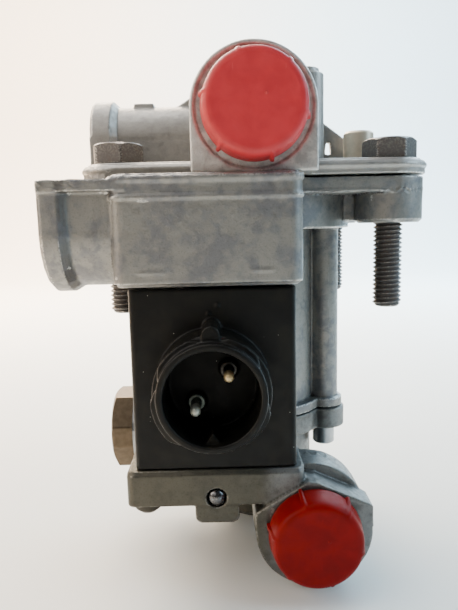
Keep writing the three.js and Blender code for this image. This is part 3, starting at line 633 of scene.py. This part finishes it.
def moulded_copy(node, voxel, keep, extras=()):
    """The CAD node and its extra details as one dense mesh with soft edges; keep is the share of faces left."""
    mesh = frame["nodes"][node].data.copy()
    mesh.transform(Matrix.Scale(1 / MM, 4))
    sheet = bmesh.new()
    sheet.from_mesh(mesh)
    bmesh.ops.remove_doubles(sheet, verts=sheet.verts, dist=0.001)
    for extra in extras:
        sheet.from_mesh(extra)
    sheet.to_mesh(mesh)
    sheet.free()
    work = bpy.data.objects.new("work", mesh)
    bpy.context.scene.collection.objects.link(work)
    voxels = work.modifiers.new("voxels", "REMESH")
    voxels.mode = "VOXEL"
    voxels.voxel_size = voxel
    soften = work.modifiers.new("soften", "SMOOTH")
    soften.factor = 0.5
    soften.iterations = 3
    thin = work.modifiers.new("thin", "DECIMATE")
    thin.ratio = keep
    graph = bpy.context.evaluated_depsgraph_get()
    made = bpy.data.meshes.new_from_object(work.evaluated_get(graph))
    bpy.data.objects.remove(work)
    return made


def true_rounds(mesh, rounds):
    """Puts vertices that lie on a many-sided round back on the true circle.

    Each round is (axis, centre, radii, half the angle of one side in degrees), and it may end with where it
    starts and ends along the axis. Only vertices that face along the radius are moved.
    """
    inner_margin, outer_margin = 0.10, 0.06
    facing_none, facing_fade = 0.90, 0.06
    count = len(mesh.vertices)
    places, normals = np.empty(count * 3), np.empty(count * 3)
    mesh.vertices.foreach_get("co", places)
    mesh.vertices.foreach_get("normal", normals)
    places, normals = places.reshape(-1, 3), normals.reshape(-1, 3)
    for axis, (u, v), radii, half, *span in rounds:
        i, j = {"X": (Y, Z), "Y": (X, Z), "Z": (X, Y)}[axis]
        away_u, away_v = places[:, i] - u, places[:, j] - v
        reach = np.hypot(away_u, away_v) + 1e-9
        facing = np.abs(away_u * normals[:, i] + away_v * normals[:, j]) / reach
        moved = reach.copy()
        along = places[:, {"X": X, "Y": Y, "Z": Z}[axis]]
        inside = (along > span[0]) & (along < span[1]) if span else np.full(count, True)
        for radius in radii:
            flat = radius * math.cos(math.radians(half))
            near = (reach > flat - inner_margin) & (reach < radius + outer_margin) & inside
            share = np.clip((facing - facing_none) / facing_fade, 0, 1) * near
            moved += (radius - moved) * share
        places[:, i] = u + away_u * moved / reach
        places[:, j] = v + away_v * moved / reach
    mesh.vertices.foreach_set("co", places.ravel())
    mesh.update()


def roughen(mesh, inside, depth, size, seed=0.0):
    """Pushes vertices in and out along their normals, up to depth, by the weights of inside(x, y, z)."""
    count = len(mesh.vertices)
    places, normals = np.empty(count * 3), np.empty(count * 3)
    mesh.vertices.foreach_get("co", places)
    mesh.vertices.foreach_get("normal", normals)
    places, normals = places.reshape(-1, 3), normals.reshape(-1, 3)
    weights = inside(places[:, X], places[:, Y], places[:, Z])
    for i in np.nonzero(weights > 0.01)[0]:
        point = Vector(places[i]) / size + Vector((seed, seed, seed))
        push = noise.noise(point) + 0.5 * noise.noise(point * 2.3)
        places[i] += normals[i] * push * depth * weights[i]
    mesh.vertices.foreach_set("co", places.ravel())
    mesh.update()


def everywhere(x, y, z):
    """An even weight of a half."""
    return np.full(len(x), 0.5)


def band(value, low, high, fade):
    """1 between low and high, falling to 0 over fade outside them."""
    return np.clip((value - low) / fade + 1, 0, 1) * np.clip((high - value) / fade + 1, 0, 1)


# ---------------------------------------------------------------- the three castings
CASTING_VOXEL = 0.32
WAVES = 0.07  # how far the broad unevenness of a casting goes in and out


def build_upper_housing(materials):
    mesh = moulded_copy("upper_housing", CASTING_VOXEL, 0.45)
    stub_tube, stub_collar, top_boss = 9.9, 11.7, 15.4
    true_rounds(mesh, [
        ("X", STUB_PORT, (stub_tube, stub_collar, OPEN_BORE), 9),
        ("Y", TOP_PORT, (top_boss,), 2),
        ("Z", MAIN, (28.1, 27.4, 28.5, 28.0, 26.9), 8),
        *[("Z", ear, (9.6, 8.9, 10.0, 9.5, 8.4), 7) for ear in EARS],
    ])
    roughen(mesh, everywhere, WAVES, 3.0)
    show_piece(mesh, "upper_casting", "upper_housing", "valve_body",
               materials["cast_upper"], 0)


def build_middle_housing(materials):
    front = box_mm("middle_housing")[0][Y]
    dash_front, ridge_front, inside_wall, rounding = front + 0.25, front + 0.15, front + 1.6, 0.2
    details = [
        rounded_bar((-29.2, dash_front, -10.8), (-23.2, inside_wall, -10.1), rounding),
        rounded_bar((-2.9, dash_front, -10.6), (2.9, inside_wall, -9.9), rounding),
        rounded_bar((-31.0, ridge_front, 6.9), (8.0, inside_wall, 7.5), rounding),
    ]
    mesh = moulded_copy("middle_housing", CASTING_VOXEL, 0.40, details)
    port_collar, port_chamfer, port_neck = 14.4, 13.7, 13.0
    main_rounds = (27.6, 19.5, 17.0)  # the round walls on MAIN, from the widest down
    true_rounds(mesh, [
        ("X", SIDE_PORT, (port_collar, port_chamfer, OPEN_BORE), 9, -53, -47.4),
        ("X", SIDE_PORT, (port_neck,), 9, -45.6, -30),
        ("Z", MAIN, main_rounds, 8),
        *[("Z", ear, (9.1,), 7) for ear in EARS],
        *[("Z", lobe, (4.3, 5.6), 7.5) for lobe in LOBES],
    ])

    def flash(x, y, z):
        box_side = (y < 4) & (x < 11)
        box_band = band(z, 11.7, 12.6, 0.2) * box_side
        port_band = band(z, 9.2, 11.5, 0.3) * (x < -36) * 0.7
        flange_band = band(z, 8.0, 9.2, 0.3) * ~box_side
        return np.maximum(np.maximum(box_band, port_band), flange_band)

    roughen(mesh, flash, 0.26, 0.7)
    roughen(mesh, everywhere, WAVES, 3.4, 5.0)
    show_piece(mesh, "middle_casting", "middle_housing", "valve_body",
               materials["cast_middle"], 0)


def build_lower_housing(materials):
    mesh = moulded_copy("lower_housing", CASTING_VOXEL, 0.5)
    true_rounds(mesh, [
        ("Z", MAIN, (19.5, 15.8), 6),
        *[("Z", lobe, (6.3,), 7.5) for lobe in LOBES],
        ("Y", LOWER_PORT, (14.8, 15.0), 6),
        ("X", PLUG_BOSS, (12.6,), 6),
    ])

    def shelf_rim(x, y, z):
        return band(z, -61.4, -60.0, 0.2) * (y < 8)

    roughen(mesh, shelf_rim, 0.12, 0.9)
    roughen(mesh, everywhere, WAVES, 3.0, 9.0)
    show_piece(mesh, "lower_casting", "lower_housing", "valve_body",
               materials["cast_lower"], 0)


# ---------------------------------------------------------------- solenoid block
def build_solenoid_block(materials):
    pins = (centre_mm("pin_left") + centre_mm("pin_right")) / 2
    px, pz = pins[X], pins[Z]
    rim = box_mm("solenoid_block")[0][Y]
    ribs = [
        arc_rib(px, pz, SHELL_RADIUS, start, end, depth, width, rim + y_start, rim + y_end)
        for start, end, depth, width, y_start, y_end in BAYONET_RIBS
    ]
    nub = lathe("nub", "Y", (px + 4.2, 0, pz - 12.9), [(rim + 3.4, 0.7), (rim + 8, 0.7)], 20)
    inside_wall = BLOCK_FACE + 1
    dots = [
        lathe("dot", "Y", (px + 1.6, 0, pz + 19.2), [(BLOCK_FACE - 0.35, 0.5), (inside_wall, 0.9)], 20),
        lathe("dot", "Y", (px - 0.6, 0, pz + 17.2), [(BLOCK_FACE - 0.30, 0.4), (inside_wall, 0.8)], 20),
    ]
    mesh = moulded_copy("solenoid_block", 0.28, 0.5, [*ribs, nub, *dots])
    widest, socket = 13.8, 11.0
    true_rounds(mesh, [("Y", (px, pz), (widest, SHELL_RADIUS, socket), 6)])
    piece = show_piece(mesh, "solenoid_moulding", "solenoid_block", "valve_body",
                       materials["black_plastic"], 0)
    piece.data.materials.append(materials["socket_black"])
    for face in piece.data.polygons:
        x, y, z = face.center / MM
        if math.hypot(x - px, z - pz) < SOCKET_LIMIT and rim + 0.8 < y < BLOCK_FACE:
            face.material_index = 1


def build_pins(materials):
    for node, material in (("pin_left", "pin_grey"), ("pin_right", "pin_gold")):
        low, high = box_mm(node)
        x, _, z = (low + high) / 2
        front, back = low[Y], high[Y]
        collar, collar_end = back - PIN_COLLAR[0], back - PIN_COLLAR[1]
        profile = [
            (front, 0.0), (front, 0.35), (front + 0.25, 0.85), (front + 0.9, 1.22),
            (collar, PIN_RADIUS), (collar, PIN_COLLAR_RADIUS), (collar_end, PIN_COLLAR_RADIUS),
            (collar_end, PIN_RADIUS), (back, PIN_RADIUS), (back, 0.0),
        ]
        mesh = lathe(node, "Y", (x, 0, z), profile, 48, 0.2)
        show_piece(mesh, "contact_" + node, node, "valve_body", materials[material])


# ---------------------------------------------------------------- bolts, screws and small turned parts
def hexagon_reach(angle, flats, turn):
    """Distance from the centre to a hexagon's edge at an angle, with slightly blunted corners."""
    corner_rounding = 0.12
    across = (angle - turn + math.pi / 6) % (math.pi / 3) - math.pi / 6
    straight = flats / 2 / math.cos(across)
    return min(straight, flats / math.sqrt(3) - corner_rounding)


def hex_head(name, axis, centre, flats, turn, seat, top, chamfer=0.577):
    """A hexagon head with the round chamfer of a real one; turn points at the middle of a flat."""
    direction = 1 if top > seat else -1
    rim = flats / 2 * 0.965  # where the chamfer meets the flat top
    sides = 180
    height = abs(top - seat)
    angles = [2 * math.pi * i / sides for i in range(sides)]
    reaches = [hexagon_reach(a, flats, turn) for a in angles]
    shoulder = [(height - max(0.0, r - rim) * chamfer - 0.12, r) for r in reaches]
    rows = [
        [(0.0, r) for r in reaches],
        [(0.25, r) for r in reaches],
        shoulder,
        [(along + 0.09, r - 0.10) for along, r in shoulder],
        [(height - 0.02, rim)] * sides,
        [(height, rim - 0.25)] * sides,
        [(height, rim * 0.5)] * sides,
    ]
    points = [
        (r * math.cos(a), r * math.sin(a), seat + direction * along)
        for row in rows for a, (along, r) in zip(angles, row)
    ]
    faces = []
    for row in range(len(rows) - 1):
        for side in range(sides):
            here, there = row * sides + side, row * sides + (side + 1) % sides
            faces.append((here, there, there + sides, here + sides))
    faces.append(tuple(reversed(range(sides))))
    faces.append(tuple(range(len(points) - sides, len(points))))
    mesh = new_mesh(name, points, faces)
    if direction < 0:
        mesh.flip_normals()
    mesh.transform(AXES[axis].to_4x4())
    mesh.transform(Matrix.Translation(centre))
    return mesh


def threaded_shank(name, centre, tip, top):
    """A vertical shank with a helical thread, chamfered at its tip."""
    sides, step = 60, THREAD_PITCH / 14
    root, flank_width = 0.08, 0.80  # shares of half a pitch
    rows = int((top - tip) / step)
    heights = [tip + i * step for i in range(rows + 1)]

    def reach(angle, along, _):
        phase = (along / THREAD_PITCH - angle / (2 * math.pi)) % 1.0
        ridge = 1 - abs(2 * phase - 1)
        flank = min(1.0, max(0.0, (ridge - root) / flank_width))
        thread = THREAD_RADIUS - THREAD_DEPTH + THREAD_DEPTH * flank
        return min(thread, THREAD_RADIUS - THREAD_TIP + (along - tip))

    return lathe(name, "Z", centre, [(z, THREAD_RADIUS) for z in heights], sides, 0.0, reach)


def build_bolts(materials):
    for node, corner in BOLT_TURNS.items():
        low, high = box_mm(node)
        x, y, _ = centre_mm(node)
        seat = high[Z] - BOLT_HEAD
        head = hex_head("head", "Z", (x, y, 0), BOLT_FLATS, corner + math.pi / 6, seat, high[Z])
        shank = threaded_shank("shank", (x, y, 0), low[Z], seat + 0.3)  # its top is hidden in the head
        mesh = joined(node, [head, shank])
        show_piece(mesh, "hex_" + node, node, "valve_body", materials["black_oxide"], 30)


def build_screws(materials):
    for index in (1, 2, 3):
        node = f"body_screw_{index}"
        low, high = box_mm(node)
        x, y, _ = centre_mm(node)
        bottom, socket_floor = low[Z], low[Z] + 2.4
        seat = SCREW_SEAT - 0.3
        head, shank = 3.4, 2.0
        profile = [
            (socket_floor, 0.0), (socket_floor, 1.7), (bottom, 1.8), (bottom, 3.0), (bottom + 0.4, head),
            (seat, head), (seat, shank), (high[Z], shank), (high[Z], 0.0),
        ]
        mesh = lathe(node, "Z", (x, y, 0), profile, 72, 0.18)
        show_piece(mesh, "socket_" + node, node, "valve_body", materials["grey_steel"])


def build_shelf_screw(materials):
    low, high = box_mm("shelf_screw")
    x, y, _ = centre_mm("shelf_screw")
    bottom, socket_floor = low[Z], low[Z] + 1.2
    radius = (high[X] - low[X]) / 2
    under = bottom + 4.0
    shank = 2.2
    profile = [
        (socket_floor, 0.0), (socket_floor, 1.4), (bottom, 1.7), (bottom + 0.15, radius - 1.8),
        (bottom + 1.3, radius - 0.4), (bottom + 2.6, radius), (under, radius), (under, shank),
        (high[Z], shank), (high[Z], 0.0),
    ]
    mesh = lathe("shelf_screw", "Z", (x, y, 0), profile, 72, 0.25)
    show_piece(mesh, "domed_shelf_screw", "shelf_screw", "valve_body",
               materials["shaded_black_oxide"])


def build_hex_plug(materials):
    low, high = box_mm("hex_plug")
    _, y, z = centre_mm("hex_plug")
    face = box_mm("plug_washer")[0][X]
    head = hex_head("head", "X", (0, y, z), PLUG_FLATS, math.pi / 2, face - 0.3, low[X], 0.5)
    thread = lathe("thread", "X", (0, y, z), [(face - 1, PLUG_THREAD), (high[X], PLUG_THREAD)], 72)
    mesh = joined("hex_plug", [head, thread])
    show_piece(mesh, "sealing_hex_plug", "hex_plug", "valve_body",
               materials["plated"], 25)


def build_dowel(materials):
    low, high = box_mm("locating_dowel")
    x, y, _ = centre_mm("locating_dowel")
    shoulder = box_mm("bolt_left")[1][Z] - BOLT_HEAD  # level with the undersides of the bolt heads
    spigot, radius = 3.0, 4.5
    top, dimple = high[Z], high[Z] - 0.5
    profile = [
        (low[Z], 0.0), (low[Z], spigot), (shoulder, spigot), (shoulder, radius),
        (top - 0.7, radius), (top, 3.9), (top, 2.2), (dimple, 1.9), (dimple, 0.0),
    ]
    mesh = lathe("dowel", "Z", (x, y, 0), profile, 96, 0.15)
    show_piece(mesh, "steel_dowel", "locating_dowel", "valve_body", materials["dowel"])


def build_ball(materials):
    sheet = bmesh.new()
    bmesh.ops.create_icosphere(sheet, subdivisions=5, radius=BALL_RADIUS)
    bmesh.ops.translate(sheet, vec=centre_mm("sealing_ball"), verts=sheet.verts)
    mesh = bpy.data.meshes.new("ball")
    sheet.to_mesh(mesh)
    sheet.free()
    show_piece(mesh, "pressed_ball", "sealing_ball", "valve_body", materials["ball"], 0)


# ---------------------------------------------------------------- red port caps
def build_cap(node, body, name, radius, colour, materials):
    """A moulded plug cap: an almost flat face, a skirt with six ribs and a stem in the port."""
    low, high = box_mm(node)
    x, z = (low[X] + high[X]) / 2, (low[Z] + high[Z]) / 2
    front, back = low[Y], low[Y] + CAP_SKIRT
    face = front + 0.12
    profile = [
        (high[Y], 0.0), (high[Y], 7.0), (high[Y], CAP_INNER), (back, CAP_INNER), (back, radius),
        (back - 1.4, radius + 0.05), (front + 1.7, radius - 0.50), (front + 0.8, radius - 0.80),
        (front + 0.2, radius - 1.4), (front, radius - 2.3), (front + 0.04, radius - 3.2),
        *[(face, radius * share) for share in (0.64, 0.5, 0.36, 0.22, 0.08)],
        (face, 0.0),
    ]

    def skirt(angle, along, reach):
        if reach < radius - 1.6 or along > back + 0.1:
            return reach
        turn = math.degrees(angle) - CAP_RIB_TURN
        off = (turn + 30) % 60 - 30
        if abs(off) >= CAP_RIB_HALF:
            return reach
        share = min(1.0, max(0.0, (along - front) / (back - front)))
        height = 0.15 + 0.85 * share
        return reach + height * max(0.0, 1 - (off / CAP_RIB_HALF) ** 2) ** 0.5

    mesh = lathe(node, "Y", (x, 0, z), list(reversed(profile)), 240, 0.5, skirt)
    gate = lathe("gate", "Y", (x + 2.4, 0, z + 1.6), [(front + 0.01, 0.35), (front + 0.4, 0.8)], 24)
    mesh = outward(joined(node, [mesh, gate]))
    show_piece(mesh, name, node, body, materials[colour], 45)


# ---------------------------------------------------------------- CAD nodes that keep their shape
def dress_cad_nodes(materials):
    dressing = {
        "steel": "grey_steel", "brass": "brass", "copper": "copper", "rubber_black": "rubber",
        "pale_plastic": "pale_plastic", "black_plastic": "black_plastic", "plated_steel": "plated",
        "black_steel": "black_oxide", "cast_light": "cast_middle", "cast_dark": "cast_lower",
        "red_plastic": "red",
    }
    slots = {part["node"]: part["material_slot"] for part in frame["record"]["subparts"]}
    for node, cad in frame["nodes"].items():
        if cad.hide_render:
            continue
        for material_slot in cad.material_slots:
            material_slot.link = "OBJECT"
            material_slot.material = materials[dressing[slots[node]]]


MATERIALS = {
    "cast_upper": cast_aluminium(
        "cast_upper", (0.41, 0.395, 0.37), (0.31, 0.30, 0.285), (0.24, 0.23, 0.21), (0.70, 0.69, 0.66),
        stain=0.65, region=machined_front),
    "cast_middle": cast_aluminium(
        "cast_middle", (0.275, 0.27, 0.25), (0.150, 0.155, 0.178), (0.075, 0.073, 0.070), (0.62, 0.61, 0.58),
        stain=0.65, region=painted_step_shade),
    "cast_lower": cast_aluminium(
        "cast_lower", (0.082, 0.077, 0.060), (0.060, 0.057, 0.047), (0.022, 0.020, 0.015),
        (0.26, 0.245, 0.215), stain=0.5, region=paler_right),
    "grey_steel": turned_steel("grey_steel", (0.40, 0.41, 0.42), (0.33, 0.34, 0.35), 0.28, 0.42),
    "plated": turned_steel("plated", (0.115, 0.088, 0.060), (0.090, 0.068, 0.046), 0.34, 0.46),
    "dowel": turned_steel("dowel", (0.80, 0.68, 0.52), (0.70, 0.60, 0.45), 0.30, 0.42, 0.4),
    "ball": turned_steel("ball", (0.13, 0.13, 0.135), (0.10, 0.10, 0.105), 0.22, 0.34),
    "pin_gold": contact_metal("pin_gold", (0.60, 0.46, 0.24), (0.022, 0.019, 0.014), -34.4),
    "pin_grey": contact_metal("pin_grey", (0.50, 0.52, 0.45), (0.105, 0.130, 0.110), -33.8),
    "brass": turned_steel("brass", (0.62, 0.48, 0.22), (0.46, 0.35, 0.16), 0.22, 0.4),
    "black_oxide": black_oxide(
        "black_oxide", (0.140, 0.131, 0.125), (0.175, 0.140, 0.115), (0.44, 0.41, 0.37)),
    # A darker copy of black_oxide: painted shade for the domed screw under the shelf.
    "shaded_black_oxide": black_oxide(
        "shaded_black_oxide", (0.045, 0.041, 0.033), (0.070, 0.055, 0.035), (0.22, 0.20, 0.16)),
    "black_plastic": black_plastic("black_plastic"),
    "socket_black": black_plastic("socket_black", 0.08),
    "red": red_plastic("red", (0.53, 0.034, 0.042), (0.46, 0.027, 0.034), (0.70, 0.11, 0.11), 0.4),
    # A darker copy of the red cap plastic: painted shade for the lower cap.
    "shaded_red": red_plastic(
        "shaded_red", (0.22, 0.0026, 0.002), (0.17, 0.0016, 0.0014), (0.40, 0.01, 0.008), 0.10),
    "rubber": rubber("rubber"),
    "pale_plastic": pale_plastic("pale_plastic"),
    "copper": copper_wire("copper"),
    "stage": stage_material("stage"),
}

place_camera()
for light in LIGHTS:
    area_light(*light)
set_world()
build_upper_housing(MATERIALS)
build_middle_housing(MATERIALS)
build_lower_housing(MATERIALS)
build_solenoid_block(MATERIALS)
build_pins(MATERIALS)
build_bolts(MATERIALS)
build_screws(MATERIALS)
build_shelf_screw(MATERIALS)
build_hex_plug(MATERIALS)
build_dowel(MATERIALS)
build_ball(MATERIALS)
build_cap("cap_upper", "upper_cap", "upper_port_cap", 12.7, "red", MATERIALS)
build_cap("cap_lower", "lower_cap", "lower_port_cap", 11.7, "shaded_red", MATERIALS)
dress_cad_nodes(MATERIALS)
build_stage(MATERIALS["stage"])
